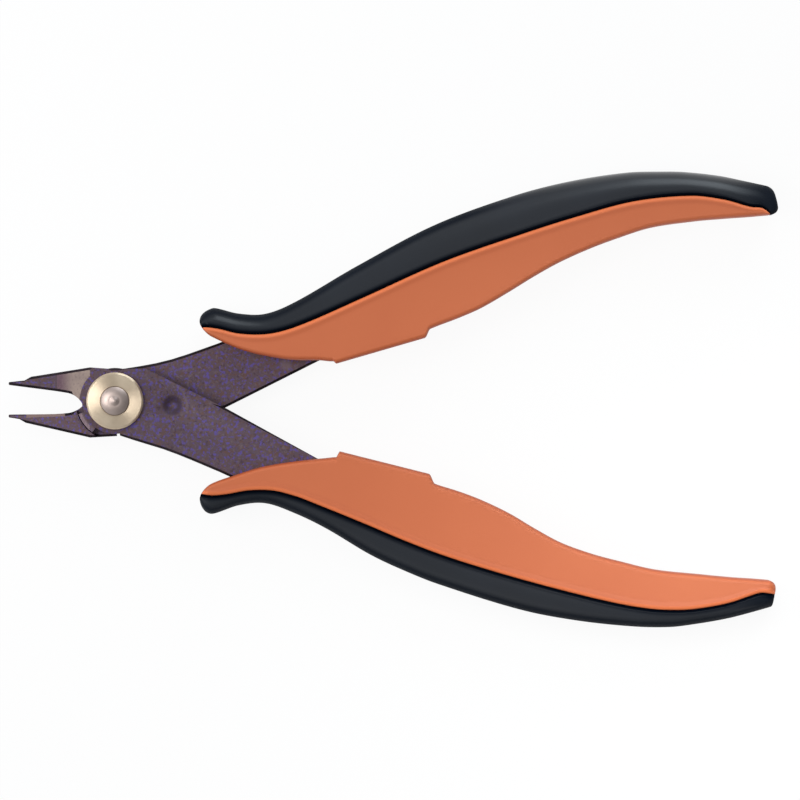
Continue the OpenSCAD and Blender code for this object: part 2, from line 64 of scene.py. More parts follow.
MM = 0.001
TINY, DIGITS = 1e-6, 5
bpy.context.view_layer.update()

# Grips, in millimetres. Curves give a share of the span, then an offset outwards from the grip's axis
GRIP_SPAN = 104.0
GRIPS = {
    "upper": {
        "side": 1, "rides": "upper_handle", "nose": (14.7, 14.6), "slant": 13.0,
        "length": 103.6, "body_end": 0.979 * GRIP_SPAN, "pad_start": 21.3, "pad_fall": 1.0, "corner": 1.1,
        "outer": [(0, -0.05), (0.01, 0.72), (0.02, 1.06), (0.03, 1.08), (0.067, -0.8), (0.11, -1.9),
                  (0.163, -1.1), (0.28, 2.65), (0.423, 6.6), (0.567, 8.5), (0.663, 8.75), (0.76, 8),
                  (0.82, 6.75), (0.856, 5.8), (0.91, 3.85), (0.95, 1.95), (1, -0.5)],
        "inner": [(0, -2.55), (0.038, -5.7), (0.06, -7.25), (0.087, -8.75), (0.135, -10.8), (0.183, -12.05),
                  (0.205, -12.75), (0.25, -12.95), (0.32, -12.1), (0.385, -10.9), (0.43, -10.25),
                  (0.47, -9.45), (0.52, -7.85), (0.567, -6.2), (0.615, -4.75), (0.67, -3.6), (0.72, -2.9),
                  (0.78, -2.4), (0.856, -3.05), (0.91, -3.85), (0.95, -4.5), (1, -5.2)],
        "seam": [(0, -1.85), (0.01, -1.98), (0.03, -2.76), (0.06, -4.28), (0.1, -5.4), (0.135, -5.6),
                 (0.183, -5), (0.28, -3.05), (0.423, -0.12), (0.567, 1.55), (0.663, 2.35), (0.76, 2.7),
                 (0.856, 1.4), (0.91, -0.6), (0.95, -2.85), (0.97, -3.6), (0.98, -4.9)],
    },
    "lower": {
        "side": -1, "rides": "lower_handle", "nose": (14.75, 18.0), "slant": 10.0,
        "length": 102.4, "body_end": 102.4, "pad_start": 22.3, "pad_fall": 1.3, "corner": 0.3,
        "outer": [(0, -0.15), (0.01, 1.05), (0.02, 1.5), (0.03, 1.25), (0.067, -0.85), (0.11, -2),
                  (0.163, -1.15), (0.22, 0.55), (0.3, 3.7), (0.36, 5.4), (0.423, 6.75), (0.567, 8.65),
                  (0.663, 8.8), (0.76, 8.1), (0.82, 7.1), (0.856, 6), (0.91, 4), (0.95, 2.15), (1, -0.4)],
        "inner": [(0, -2.65), (0.02, -4.15), (0.045, -5.6), (0.087, -7.9), (0.12, -9.25), (0.16, -10.6),
                  (0.195, -11.6), (0.215, -12.15), (0.25, -12.4), (0.32, -11.9), (0.39, -10.5), (0.43, -9.95),
                  (0.47, -9.15), (0.52, -7.7), (0.567, -5.85), (0.615, -4.2), (0.67, -3.2), (0.72, -2.75),
                  (0.78, -2.4), (0.856, -2.95), (0.91, -3.4), (0.95, -3.85), (1, -4.3)],
        "seam": [(0, -1.75), (0.02, -1.8), (0.045, -2.5), (0.08, -3.8), (0.12, -4.5), (0.16, -4.2),
                 (0.195, -3.5), (0.28, -1.6), (0.36, 0.3), (0.43, 1.65), (0.52, 2.85), (0.615, 3.8),
                 (0.72, 4.5), (0.78, 4.45), (0.82, 3.95), (0.856, 3.1), (0.91, 1.05), (0.95, -1.2),
                 (0.962, -1.75), (0.985, -1.85)],
    },
}
# Rounded ends, finger pad, rounded edges and the drop of the black back, in millimetres
NOSE_R, TAIL_R, NOSE_CORNER = 1.6, 1.5, 0.6
PAD_LEN, PAD_HIGH = 18.0, 13.3
PAD_STEP_IN, PAD_STEP_OUT = 0.5, 1.4
EDGE_IN, EDGE_DOWN = 0.8, 1.3
SEAM_R, BACK_DROP, LEAST_W = 0.6, 0.3, 0.12
# Largest share of a moulding's width, or of its half thickness, that a rounding, bead or groove may take
SEAM_SHARE, EDGE_SHARE, DOWN_SHARE = 0.3, 0.4, 0.8
RISE_SHARE, BEAD_SHARE, LIP_SHARE, FALL_SHARE = 0.05, 0.5, 0.4, 0.3
# Roundness of the black back, and how its points crowd towards the seam
BACK_POWER, BACK_CROWD = 0.8, 1.5
# Counts of stations along a grip, and of points round its sections
ROUND_STEPS, NOSE_STEPS, PAD_STEPS, TAIL_STEPS = 15, 60, 40, 150
STEP_IN_STEPS, STEP_OUT_STEPS = 12, 14
SEAM_POINTS, EDGE_POINTS, FACE_POINTS, BACK_POINTS = 9, 15, 12, 34
# Where the palm polishes the back line of the upper grip, and where the gloss of both backs grows
PALM_X, PALM_Y, POLISH_X = (60, 85), (0, 10), (25, 75)
GRIP_LOW, GRIP_HIGH = (corner.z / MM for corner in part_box("lower_grip_body"))
MID_Z = (GRIP_LOW + GRIP_HIGH) / 2
HALF_T = (GRIP_HIGH - GRIP_LOW) / 2

# Edges of the blades: angles at which they show, are broken, and count as lying in one plane
SHARP, BROKEN, SAME_PLANE = math.radians(28), math.radians(50), math.radians(0.5)
# Merging distance in metres, and the area of a small facet in square millimetres
MERGE, SMALL_FACET = 1e-7, 0.5
# Upright share of the normal of nearly level faces, of level faces and of walls
NEAR_LEVEL, LEVEL, WALL = 0.9, 0.998, 0.5
# Places of the finishes along the jaws and on the faces, in millimetres
LIP_ROOT_X, RAMP_X, RAMP_END_X = -15.2, -4.4, -10.2
STOP_R, STOP_DEG, STOP_DEPTH = 10.15, -4.5, 0.9
BLADE_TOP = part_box("top_blade")[1].z / MM
DIMPLE = (STOP_R * math.cos(math.radians(STOP_DEG)), STOP_R * math.sin(math.radians(STOP_DEG)),
          BLADE_TOP - STOP_DEPTH / 2)
DIMPLE_REACH = 3.0
# Waves in a metre of the grinding scratches along each axis, and of the turned rings
SCRATCHES, RINGS = (9000.0, 900.0, 900.0), 9000.0
# Lighter marks on the blades: a lighter spot, a painted highlight along an arc about a point with its radius
# and fade, and a painted highlight on a crescent of the lower shoulder
PALE_SPOT, HIGHLIGHT_ARC, ARC_R, ARC_FADE = (30.0, 6.4, MID_Z), (8.0, -1.1, BLADE_TOP), 4.7, 0.3
ARC_X, ARC_Y = (8.5, 10.0), (-2.0, -0.8)
CRESCENT_X, CRESCENT_Y = (-1.0, -3.0), (0.0, -2.0)
CRESCENT_IN, CRESCENT_OUT = (5.8 * MM, 6.2 * MM), (6.6 * MM, 6.9 * MM)
# Ground faces: where oxide comes back on the ramp, where the lower jaw begins, and its flange
BLOOM_X, LOWER_JAW_Y, FLANGE_X = (-7.0, RAMP_END_X + 0.3), (-0.5, -1.5), (-7.6, -6.6)
# Each blade with the handle that it belongs to and the tone of its oxide. The bottom blade's higher tone
# paints its oxide lighter, to offset the shade that falls on its arm beside the top blade
BLADES = (("top_blade", "lower_handle", 1.0), ("bottom_blade", "upper_handle", 1.2))
# Crossing edge of the top blade, from its hub to the notch where the arms part, and what counts as on it
CROSSING, NOTCH, CROSSING_NEAR = Vector((5.2, 5.75)), Vector((19.3, -1.2)), 0.3
HUB_TOP_X, HUB_TOP_Y = 1.2, 5.0
# Lapped shoulders: reach from the pivot, start along the jaw, half width, and the heel behind the lower jaw
SHOULDER_R, SHOULDER_X, SHOULDER_Y = 7.2, -2.0, 6.2
HEEL_X, HEEL_Y = 1.2, -4.5
# Start of the tangs inside the grips, share of the edge break on the lips, and the spring's wire
TANG_X, LIP_BREAK, SPRING_WIRE = 40.0, 0.35, 0.8
# Pivot, in millimetres: shank and bore, chamfers, eased head, nib, dome, cone of the washers, soft corners
SHANK_R, BORE_R, RIM_CHAMFER, BORE_CHAMFER, HEAD_EASE = 2.5, 2.54, 0.3, 0.06, 0.25
NIB_R, NIB_H, CROWN, CONE = 0.85, 0.25, 0.45, 0.12
SOFT_CORNER, SOFT_SHARE = 0.08, 0.45
DOME_POINTS, CORNER_POINTS, TURN_SIDES = 7, 5, 160
# Stage, in metres: places, sizes and colours of the lamps, the camera's lens, the floor
KEY_PLACE, KEY_SIZE, KEY_COLOUR = (0.28, 0.62, 0.32), 0.5, (0.84, 0.93, 1.0)
NEAR_PLACE, NEAR_TARGET, NEAR_SIZE, NEAR_SPREAD = (0.11, 0.0, 0.12), Vector((0.115, -0.06, 0.0)), 0.06, 92
LEFT_PLACE, LEFT_SIZE = (-0.1, 0.022, 0.2), 0.11
ROOM_COLOUR, WHITE = (0.95, 0.97, 1.0, 1.0), (1.0, 1.0, 1.0, 1.0)
LENS_MM, SENSOR_MM, SIGHT = 400.0, 36.0, 20.0
FLOOR_REACH, FLOOR_Z = 4.0, -0.3 * MM


class GripLook(PropertyGroup):
    """Sizes and colours of the moulded grips"""

    bead_rise: FloatProperty(name="Bead rise", description="Height of the bead beside the seam",
                             default=0.1 * MM, unit="LENGTH", precision=5)
    bead_width: FloatProperty(name="Bead width", description="Width of the bead beside the seam",
                              default=0.9 * MM, unit="LENGTH", precision=5)
    groove_width: FloatProperty(name="Groove width", description="Width of the groove beside the bead",
                                default=0.75 * MM, unit="LENGTH", precision=5)
    groove_depth: FloatProperty(name="Groove depth", description="Depth of the groove in the black back",
                                default=0.6 * MM, unit="LENGTH", precision=5)
    orange: FloatVectorProperty(name="Orange", description="Colour of the hard moulding", subtype="COLOR",
                                default=(0.582, 0.14, 0.045), min=0, max=1)
    black: FloatVectorProperty(name="Black", description="Colour of the soft moulding", subtype="COLOR",
                               default=(0.007, 0.0095, 0.0145), min=0, max=1)


class SteelLook(PropertyGroup):
    """Sizes and colours of the blades and the pivot"""

    edge_break: FloatProperty(name="Edge break", description="Width of the rounded edges of the blades",
                              default=0.45 * MM, unit="LENGTH", precision=5)
    oxide: FloatVectorProperty(name="Oxide", description="Ground colour of the blades", subtype="COLOR",
                               default=(0.1, 0.065, 0.083), min=0, max=1)
    violet: FloatVectorProperty(name="Violet", description="Colour of the violet specks", subtype="COLOR",
                                default=(0.095, 0.065, 0.25), min=0, max=1)
    brown: FloatVectorProperty(name="Brown", description="Colour of the brown specks", subtype="COLOR",
                               default=(0.107, 0.058, 0.053), min=0, max=1)
    ground: FloatVectorProperty(name="Ground steel", description="Colour of the ground jaw faces",
                                subtype="COLOR", default=(0.265, 0.2, 0.168), min=0, max=1)
    bright: FloatVectorProperty(name="Bright steel", description="Colour of the turned pivot",
                                subtype="COLOR", default=(0.72, 0.59, 0.435), min=0, max=1)


class StageLook(PropertyGroup):
    """Light, floor and framing of the picture"""

    floor: FloatVectorProperty(name="Floor", description="Colour of the floor", subtype="COLOR",
                               default=(0.92, 0.92, 0.92), min=0, max=1)
    floor_glow: FloatProperty(name="Floor glow", description="Share of plain white in the floor that is seen",
                              default=0.93, min=0, max=1, subtype="FACTOR")
    room: FloatProperty(name="Room light", description="Strength of the soft light all round", default=0.55)
    swing: FloatProperty(name="Swing", description="How much stronger that light is ahead of the jaws",
                         default=0.7, min=0, max=1, subtype="FACTOR")
    key_power: FloatProperty(name="Key power", description="Power of the low lamp behind the tool",
                             default=2.35, unit="POWER")
    near_power: FloatProperty(name="Near power", description="Power of the lamp beside the lower grip",
                              default=0.025, unit="POWER")
    left_power: FloatProperty(name="Left power", description="Power of the low lamp ahead of the jaws",
                              default=0.19, unit="POWER")
    view_width: FloatProperty(name="View width", description="Width of the picture at the tool",
                              default=140.8 * MM, unit="LENGTH")
    view_centre: FloatVectorProperty(name="View centre", description="Middle of the picture, on the tool",
                                     subtype="TRANSLATION", default=(50.08 * MM, 0.16 * MM, 5.2 * MM))


def smooth_curve(points, x):
    """Cubic spans through the points; the slope at a point is that of the chord between its neighbours."""
    p = np.array(points, float)
    last = len(p) - 1
    order = np.arange(len(p))
    before, after = np.maximum(order - 1, 0), np.minimum(order + 1, last)
    slope = (p[after, 1] - p[before, 1]) / (p[after, 0] - p[before, 0])
    i = np.clip(np.searchsorted(p[:, 0], x, side="right") - 1, 0, last - 1)
    w = p[i + 1, 0] - p[i, 0]
    t = (x - p[i, 0]) / w
    u = 1 - t
    return ((1 + 2 * t) * u * u * p[i, 1] + t * u * u * w * slope[i]
            + t * t * (3 - 2 * t) * p[i + 1, 1] - t * t * u * w * slope[i + 1])


def ease(t):
    """Smooth step: 3t^2 - 2t^3 between 0 and 1."""
    c = np.clip(t, 0, 1)
    return c * c * (3 - 2 * c)


def end_inset(d, r):
    """How far a quarter round of radius r draws an edge in at distance d from the end."""
    c = np.clip(r - d, 0, r)
    return r - np.sqrt(r * r - c * c)


def grip_lines(grip, x):
    """Outer edge, inner edge, seam and half thickness of a grip at x from its nose. The ends draw the edges
    in by quarter rounds, and over the finger pad the inner edge eases on to a straight line."""
    back, start = grip["length"] - x, grip["pad_start"]
    ends = end_inset(x, NOSE_R) + end_inset(back, TAIL_R)
    corners = end_inset(x, NOSE_CORNER) + end_inset(back, grip["corner"])
    share = ease((x - start) / PAD_STEP_IN) * ease((start + PAD_LEN - x) / PAD_STEP_OUT)
    pad = grip["pad_fall"] * (x - start) / PAD_LEN - PAD_HIGH
    inner = smooth_curve(grip["inner"], x / GRIP_SPAN)
    inner = inner + (pad - inner) * share + ends
    outer = np.maximum(smooth_curve(grip["outer"], x / GRIP_SPAN) - corners, inner + 2 * LEAST_W)
    seam = smooth_curve(grip["seam"], x / GRIP_SPAN)
    seam = np.minimum(np.maximum(seam, inner + LEAST_W), outer - LEAST_W)
    return outer, inner, seam, HALF_T - ends


def stations(grip, last):
    """Places along the grip, closer together on the round ends and on the steps of the finger pad."""
    quarter = 1 - np.cos(np.linspace(0, math.pi / 2, ROUND_STEPS))
    length, start = grip["length"], grip["pad_start"]
    end = start + PAD_LEN
    x = np.concatenate([
        NOSE_R * quarter,
        np.linspace(NOSE_R, start, NOSE_STEPS),
        np.linspace(start, start + PAD_STEP_IN, STEP_IN_STEPS),
        np.linspace(start + PAD_STEP_IN, end - PAD_STEP_OUT, PAD_STEPS),
        np.linspace(end - PAD_STEP_OUT, end, STEP_OUT_STEPS),
        np.linspace(end, length - TAIL_R, TAIL_STEPS),
        length - TAIL_R * quarter,
        [grip["body_end"]]])
    x = np.unique(np.round(x, DIGITS))
    return x[x <= last + TINY]


def to_row(grip, x, v, w):
    """Grip coordinates, along, outwards and across the thickness, as row coordinates in metres."""
    a = math.radians(grip["slant"])
    nose_x, nose_y = grip["nose"]
    along = nose_x + x * math.cos(a) - v * math.sin(a)
    aside = grip["side"] * (nose_y + x * math.sin(a) + v * math.cos(a))
    return np.stack([along, aside, MID_Z + w], axis=-1) * MM


def placed(name, data):
    """Object of a finished mesh, lamp or camera, at the origin and in the scene."""
    made = bpy.data.objects.new(name, data)
    bpy.context.scene.collection.objects.link(made)
    return made


def skin(name, grid, flip, marks):
    """Closed skin over a grid of rings, with a fan at each end; marks are values kept on its points."""
    n, m = grid.shape[:2]
    ids = np.arange(n * m).reshape(n, m)
    right = np.roll(ids, -1, axis=1)
    quads = np.stack([ids[:-1], right[:-1], right[1:], ids[1:]], axis=-1).reshape(-1, 4)
    first, last = n * m, n * m + 1
    start = np.stack([right[0], ids[0], np.full(m, first)], axis=-1)
    end = np.stack([ids[-1], right[-1], np.full(m, last)], axis=-1)
    points = np.concatenate([grid.reshape(-1, 3), grid[:1].mean(axis=1), grid[-1:].mean(axis=1)])
    faces = quads.tolist() + start.tolist() + end.tolist()
    if flip:
        faces = [face[::-1] for face in faces]
    mesh = bpy.data.meshes.new(name)
    mesh.from_pydata(points.tolist(), [], faces)
    for mark, values in marks.items():
        ends = [values[0].mean(), values[-1].mean()]
        layer = mesh.attributes.new(mark, "FLOAT", "POINT")
        layer.data.foreach_set("value", np.concatenate([values.ravel(), ends]).astype(np.float32))
    mesh.shade_smooth()
    mesh.update()
    return placed(name, mesh)


def body_section(grip, x, look):
    """Ring of the hard body: seam wall, rounded seam edge, bead that eases down to the face, face, rounded
    inner edge, inner wall, and the same mirrored underneath. Also each point's distance from the seam and
    from the inner edge."""
    _, inner, seam, half = (line[:, None] for line in grip_lines(grip, x))
    width = seam - inner
    rs = np.minimum(SEAM_R, SEAM_SHARE * width)
    ri = np.minimum(EDGE_IN, EDGE_SHARE * width)
    rd = np.minimum(EDGE_DOWN, DOWN_SHARE * half)
    rise = np.minimum(look.bead_rise / MM, RISE_SHARE * width)
    bead = np.minimum(look.bead_width / MM, BEAD_SHARE * (width - rs - ri))
    a = np.linspace(0, math.pi / 2, SEAM_POINTS)[None, :]
    b = np.linspace(0, math.pi / 2, EDGE_POINTS)[None, :]
    near = np.linspace(0, 1, FACE_POINTS)[None, 1:]
    far = np.linspace(0, 1, FACE_POINTS)[None, 1:-1]
    face_start, face_end = seam - rs - bead, inner + ri
    v_far = face_start + (face_end - face_start) * far
    top_v = np.concatenate([seam - rs + rs * np.cos(a), seam - rs - bead * near, v_far,
                            face_end - ri * np.sin(b)], axis=1)
    face_w = half - rise
    top_w = np.concatenate([half - rs + rs * np.sin(a), face_w + rise * (1 - ease(near)),
                            np.broadcast_to(face_w, v_far.shape), face_w - rd + rd * np.cos(b)], axis=1)
    v = np.concatenate([top_v, top_v[:, ::-1]], axis=1)
    w = np.concatenate([top_w, -top_w[:, ::-1]], axis=1)
    return v, w, seam - v, v - inner


def back_section(grip, x, look):
    """Ring of the soft back: a lip that falls into the groove at the seam, then a flattened half oval out to
    the back line. Also each point's distance from the seam and from the back line."""
    outer, inner, seam, half = (line[:, None] for line in grip_lines(grip, x))
    bare = x[:, None] > grip["body_end"]
    seam = np.where(bare, inner, seam)
    width = outer - seam
    high = half - BACK_DROP
    share = np.sin(np.linspace(0, math.pi / 2, BACK_POINTS))[None, :] ** BACK_CROWD
    v = seam + width * share
    oval = (1 - share ** (2 / BACK_POWER)) ** (BACK_POWER / 2)
    lip = np.minimum(look.groove_width / MM, LIP_SHARE * width)
    fall = np.minimum(look.groove_depth / MM, FALL_SHARE * width) * (1 - ease((v - seam) / lip)) ** 2
    w = high * oval - fall * (share < 1)
    v = np.concatenate([v, v[:, -2::-1]], axis=1)
    w = np.concatenate([w, -w[:, -2::-1]], axis=1)
    return v, w, v - seam + np.where(bare, GRIP_SPAN, 0), outer - v


def make_grip(kind, name, look):
    """One moulding of one grip, as a skin over its sections, riding on its handle."""
    grip = GRIPS[name]
    section, last = (body_section, "body_end") if kind == "body" else (back_section, "length")
    x = stations(grip, grip[last])
    v, w, from_seam, from_edge = section(grip, x, look)
    along = np.broadcast_to(x[:, None], v.shape)
    marks = {"from_seam": from_seam, "from_edge": from_edge, "from_tail": grip["length"] - along}
    turned = (kind == "body") == (grip["side"] > 0)
    piece = skin(f"{name}_{kind}_moulding", to_row(grip, along, v, w), turned, marks)
    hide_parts(f"{name}_grip_{kind}")
    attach(piece, grip["rides"])
    return piece


def revolve(name, corners):
    """Turned piece: a closed profile of (radius, height) corners, each softened by a small arc, swept
    round Z."""
    p = np.array(corners, float)
    before, after = np.roll(p, 1, axis=0) - p, np.roll(p, -1, axis=0) - p
    to_before, to_after = np.linalg.norm(before, axis=1), np.linalg.norm(after, axis=1)
    reach = np.minimum(SOFT_CORNER, SOFT_SHARE * np.minimum(to_before, to_after))
    reach = np.where(p[:, 0] < TINY, 0, reach)
    start = p + before * (reach / to_before)[:, None]
    end = p + after * (reach / to_after)[:, None]
    t = np.linspace(0, 1, CORNER_POINTS)[None, :, None]
    soft = (1 - t) ** 2 * start[:, None] + 2 * t * (1 - t) * p[:, None] + t * t * end[:, None]
    soft = soft.reshape(-1, 2)
    turn = np.linspace(0, 2 * math.pi, TURN_SIDES, endpoint=False)
    ring = np.stack([np.cos(turn), np.sin(turn)], axis=-1)
    flat = soft[:, None, :1] * ring[None]
    height = np.broadcast_to(soft[:, None, 1:], flat.shape[:2] + (1,))
    grid = np.concatenate([flat, height], axis=-1) * MM
    ids = np.arange(grid.shape[0] * grid.shape[1]).reshape(grid.shape[:2])
    right, up = np.roll(ids, -1, 1), np.roll(ids, -1, 0)
    quads = np.stack([ids, right, np.roll(up, -1, 1), up], axis=-1)
    mesh = bpy.data.meshes.new(name)
    mesh.from_pydata(grid.reshape(-1, 3).tolist(), [], quads.reshape(-1, 4).tolist())
    merge = bmesh.new()
    merge.from_mesh(mesh)
    bmesh.ops.remove_doubles(merge, verts=merge.verts, dist=MERGE / 10)
    bmesh.ops.dissolve_degenerate(merge, dist=MERGE / 100, edges=merge.edges)
    bmesh.ops.recalc_face_normals(merge, faces=merge.faces)
    merge.to_mesh(mesh)
    merge.free()
    mesh.shade_smooth()
    return placed(name, mesh)


def break_share(point):
    """Share of the full edge break at a point in millimetres: little on the thin lips, and none where one
    blade crosses the other, on the lapped shoulders and on the tangs inside the grips."""
    flat = point.xy
    run = NOTCH - CROSSING
    aside = abs(run.cross(flat - CROSSING)) / run.length
    over_arm = flat.x > CROSSING.x and aside < CROSSING_NEAR or flat.x > HUB_TOP_X and flat.y > HUB_TOP_Y
    crossing = point.z > MID_Z and over_arm and flat.x < NOTCH.x
    heel = flat.x < HEEL_X and -SHOULDER_Y < flat.y < HEEL_Y
    beside = flat.x < SHOULDER_X and abs(flat.y) < SHOULDER_Y or heel
    shoulder = flat.length < SHOULDER_R and beside
    if crossing or shoulder or flat.x > TANG_X:
        return 0.0
    return LIP_BREAK if point.x < LIP_ROOT_X else 1.0


def merged_copy(node, name):
    """Mesh copied from a CAD node without its materials, and a work mesh of it with its doubles merged."""
    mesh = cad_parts[node].data.copy()
    mesh.name = name
    mesh.materials.clear()
    work = bmesh.new()
    work.from_mesh(mesh)
    bmesh.ops.remove_doubles(work, verts=work.verts, dist=MERGE)
    return mesh, work


def eased_copy(node, name, width):
    """Copy of a CAD node with its flat faces joined and its sharp edges broken. Edges of small facets stay as
    they are, and the dish of the dimple is shaded smooth."""
    mesh, work = merged_copy(node, name)
    bmesh.ops.dissolve_limit(work, angle_limit=SAME_PLANE, verts=work.verts, edges=work.edges)
    weight = work.edges.layers.float.new("bevel_weight_edge")
    for edge in work.edges:
        angle = edge.calc_face_angle()
        middle = (edge.verts[0].co + edge.verts[1].co) / (2 * MM)
        small = min(face.calc_area() for face in edge.link_faces) < SMALL_FACET * MM * MM
        level = min(abs(face.normal.z) for face in edge.link_faces) > NEAR_LEVEL
        dished = (middle - Vector(DIMPLE)).length < DIMPLE_REACH
        edge[weight] = 0.0 if small or angle < BROKEN else break_share(middle)
        edge.smooth = dished or (angle < SHARP and not level)
    for face in work.faces:
        face.smooth = True
        face.material_index = 0
    work.to_mesh(mesh)
    work.free()
    piece = placed(name, mesh)
    ease_edges = piece.modifiers.new("edge_break", "BEVEL")
    ease_edges.width, ease_edges.segments, ease_edges.material = width, 2, 1
    ease_edges.limit_method, ease_edges.use_clamp_overlap = "WEIGHT", False
    ease_edges.harden_normals, ease_edges.loop_slide = True, False
    return piece


def add(tree, kind, inputs=None, **settings):
    """New shader node with its settings, and each input either set or linked to a socket."""
    node = tree.nodes.new("ShaderNode" + kind)
    for key, value in settings.items():
        setattr(node, key, value)
    for key, value in (inputs or {}).items():
        if isinstance(value, bpy.types.NodeSocket):
            tree.links.new(value, node.inputs[key])
        else:
            node.inputs[key].default_value = value
    return node


def maths(tree, operation, a, b=0.0):
    """Result of an operation on two values or sockets."""
    return add(tree, "Math", {0: a, 1: b}, operation=operation).outputs[0]


def product(tree, first, *others):
    """Product of two or more values or sockets."""
    for other in others:
        first = maths(tree, "MULTIPLY", first, other)
    return first


def largest(tree, first, *others):
    """Largest of two or more masks."""
    for other in others:
        first = maths(tree, "MAXIMUM", first, other)
    return first


def remap(tree, value, low, high, to_low=0.0, to_high=1.0, smooth=True):
    """Value carried from one range to another, and held at its ends."""
    kind = "SMOOTHSTEP" if smooth else "LINEAR"
    return add(tree, "MapRange", {"Value": value, "From Min": low, "From Max": high, "To Min": to_low,
                                  "To Max": to_high}, interpolation_type=kind).outputs[0]


def group(name, inputs, outputs):
    """New shader node group with named float or colour sockets; returns it with its two end nodes."""
    tree = bpy.data.node_groups.new(name, "ShaderNodeTree")
    for socket, (kind, value) in inputs.items():
        made = tree.interface.new_socket(socket, in_out="INPUT", socket_type="NodeSocket" + kind)
        made.default_value = value
    for socket, kind in outputs.items():
        tree.interface.new_socket(socket, in_out="OUTPUT", socket_type="NodeSocket" + kind)
    return tree, tree.nodes.new("NodeGroupInput"), tree.nodes.new("NodeGroupOutput")


def grain_group():
    """Moulded or blasted grain: two sizes of noise as a height, and slow blotches as a tone from 0 to 1."""
    tree, given, out = group("surface_grain", {"Size": ("Float", 0.25), "Blotch": ("Float", 8.0)},
                             {"Height": "Float", "Tone": "Float"})
    place = add(tree, "TexCoord").outputs["Object"]
    fine = maths(tree, "DIVIDE", 1 / MM, given.outputs["Size"])
    slow = maths(tree, "DIVIDE", 1 / MM, given.outputs["Blotch"])
    noise = add(tree, "TexNoise", {"Vector": place, "Scale": fine, "Detail": 3.0, "Roughness": 0.6})
    blotch = add(tree, "TexNoise", {"Vector": place, "Scale": slow, "Detail": 2.0})
    tree.links.new(noise.outputs["Fac"], out.inputs["Height"])
    tree.links.new(remap(tree, blotch.outputs["Fac"], 0.3, 0.7, smooth=False), out.inputs["Tone"])
    return tree


def speck_group():
    """Specks: the tops of a noise above a level, as a mask with soft edges."""
    tree, given, out = group("specks", {"Size": ("Float", 0.6), "Least": ("Float", 0.6),
                                        "Soft": ("Float", 0.1), "Seed": ("Float", 0.0)}, {"Mask": "Float"})
    place = add(tree, "TexCoord").outputs["Object"]
    scale = maths(tree, "DIVIDE", 1 / MM, given.outputs["Size"])
    noise = add(tree, "TexNoise", {"Vector": place, "W": given.outputs["Seed"], "Scale": scale,
                                   "Detail": 1.0, "Roughness": 0.5}, noise_dimensions="4D")
    high = maths(tree, "ADD", given.outputs["Least"], given.outputs["Soft"])
    mask = remap(tree, noise.outputs["Fac"], given.outputs["Least"], high)
    tree.links.new(mask, out.inputs["Mask"])
    return tree


def shared(name, make):
    """A node group by its name, built at its first use."""
    return bpy.data.node_groups.get(name) or make()


def place_group(tree, made, **values):
    """A built group placed in a material with its own values."""
    node = tree.nodes.new("ShaderNodeGroup")
    node.node_tree = made
    for key, value in values.items():
        node.inputs[key].default_value = value
    return node.outputs


def grain(tree, size, blotch):
    """The shared grain at a size and with blotches of a size, both in millimetres."""
    return place_group(tree, shared("surface_grain", grain_group), Size=size, Blotch=blotch)


def speck_mask(tree, size, least, soft, seed):
    """The shared specks at a size in millimetres, above a level of the noise."""
    made = shared("specks", speck_group)
    return place_group(tree, made, Size=size, Least=least, Soft=soft, Seed=seed)["Mask"]


def blend(tree, factor, a, b):
    """Colour mix of two colours or sockets."""
    a, b = (c if isinstance(c, bpy.types.NodeSocket) else (*c[:3], 1.0) for c in (a, b))
    return add(tree, "Mix", {0: factor, 6: a, 7: b}, data_type="RGBA").outputs[2]


def scaled(colour, *shares):
    """Colour with its red, green and blue multiplied by the shares."""
    return tuple(min(1.0, c * k) for c, k in zip(colour, shares))


def new_material(name, **values):
    """Material with a Principled BSDF, whose plain sockets take the given values."""
    material = bpy.data.materials.new(name)
    material.use_nodes = True
    tree = material.node_tree
    shader = tree.nodes["Principled BSDF"]
    for key, value in values.items():
        shader.inputs[key.replace("_", " ")].default_value = value
    return material, tree, shader


def finish(tree, shader, colour, rough, height=None, strength=0.3, depth=0.03):
    """Links a colour and a roughness to the shader, and a height as a bump of a depth in millimetres."""
    tree.links.new(colour, shader.inputs["Base Color"])
    tree.links.new(rough, shader.inputs["Roughness"])
    if height is not None:
        node = add(tree, "Bump", {"Height": height, "Strength": strength, "Distance": depth * MM})
        tree.links.new(node.outputs["Normal"], shader.inputs["Normal"])


def near_mask(tree, mark, full, gone):
    """1 where the mark on the points is up to full, easing to 0 where it reaches gone."""
    value = add(tree, "Attribute", attribute_name=mark).outputs["Fac"]
    return remap(tree, value, full, gone, 1.0, 0.0)


def axis_mask(tree, axis, low, high, to_low=0.0, to_high=1.0):
    """Smooth step along one axis of the tool, between two places in millimetres."""
    place = add(tree, "TexCoord").outputs["Object"]
    value = add(tree, "SeparateXYZ", {0: place}).outputs[axis]
    return remap(tree, value, low * MM, high * MM, to_low, to_high)


def rough_range(tree, noise, smooth, rough):
    """Roughness that follows a noise, between two values."""
    return remap(tree, noise, 0.0, 1.0, smooth, rough)


def spot_mask(tree, centre, full, gone):
    """1 within a distance of a point in millimetres, easing to 0 at a further one."""
    place = add(tree, "TexCoord").outputs["Object"]
    point = tuple(c * MM for c in centre)
    away = add(tree, "VectorMath", {0: place, 1: point}, operation="DISTANCE").outputs["Value"]
    return remap(tree, away, full * MM, gone * MM, 1.0, 0.0)


def ring_mask(tree, centre, inner, outer, fade):
    """1 on a ring about a point, between two distances in millimetres, easing to 0 beyond them."""
    whole = spot_mask(tree, centre, outer, outer + fade)
    return maths(tree, "SUBTRACT", whole, spot_mask(tree, centre, inner - fade, inner))


def axis_reach(tree):
    """Object coordinates without their height, and the distance from the pivot's axis."""
    place = add(tree, "TexCoord").outputs["Object"]
    flat = add(tree, "VectorMath", {0: place, 1: (1.0, 1.0, 0.0)}, operation="MULTIPLY").outputs[0]
    return flat, add(tree, "VectorMath", {0: flat}, operation="LENGTH").outputs["Value"]


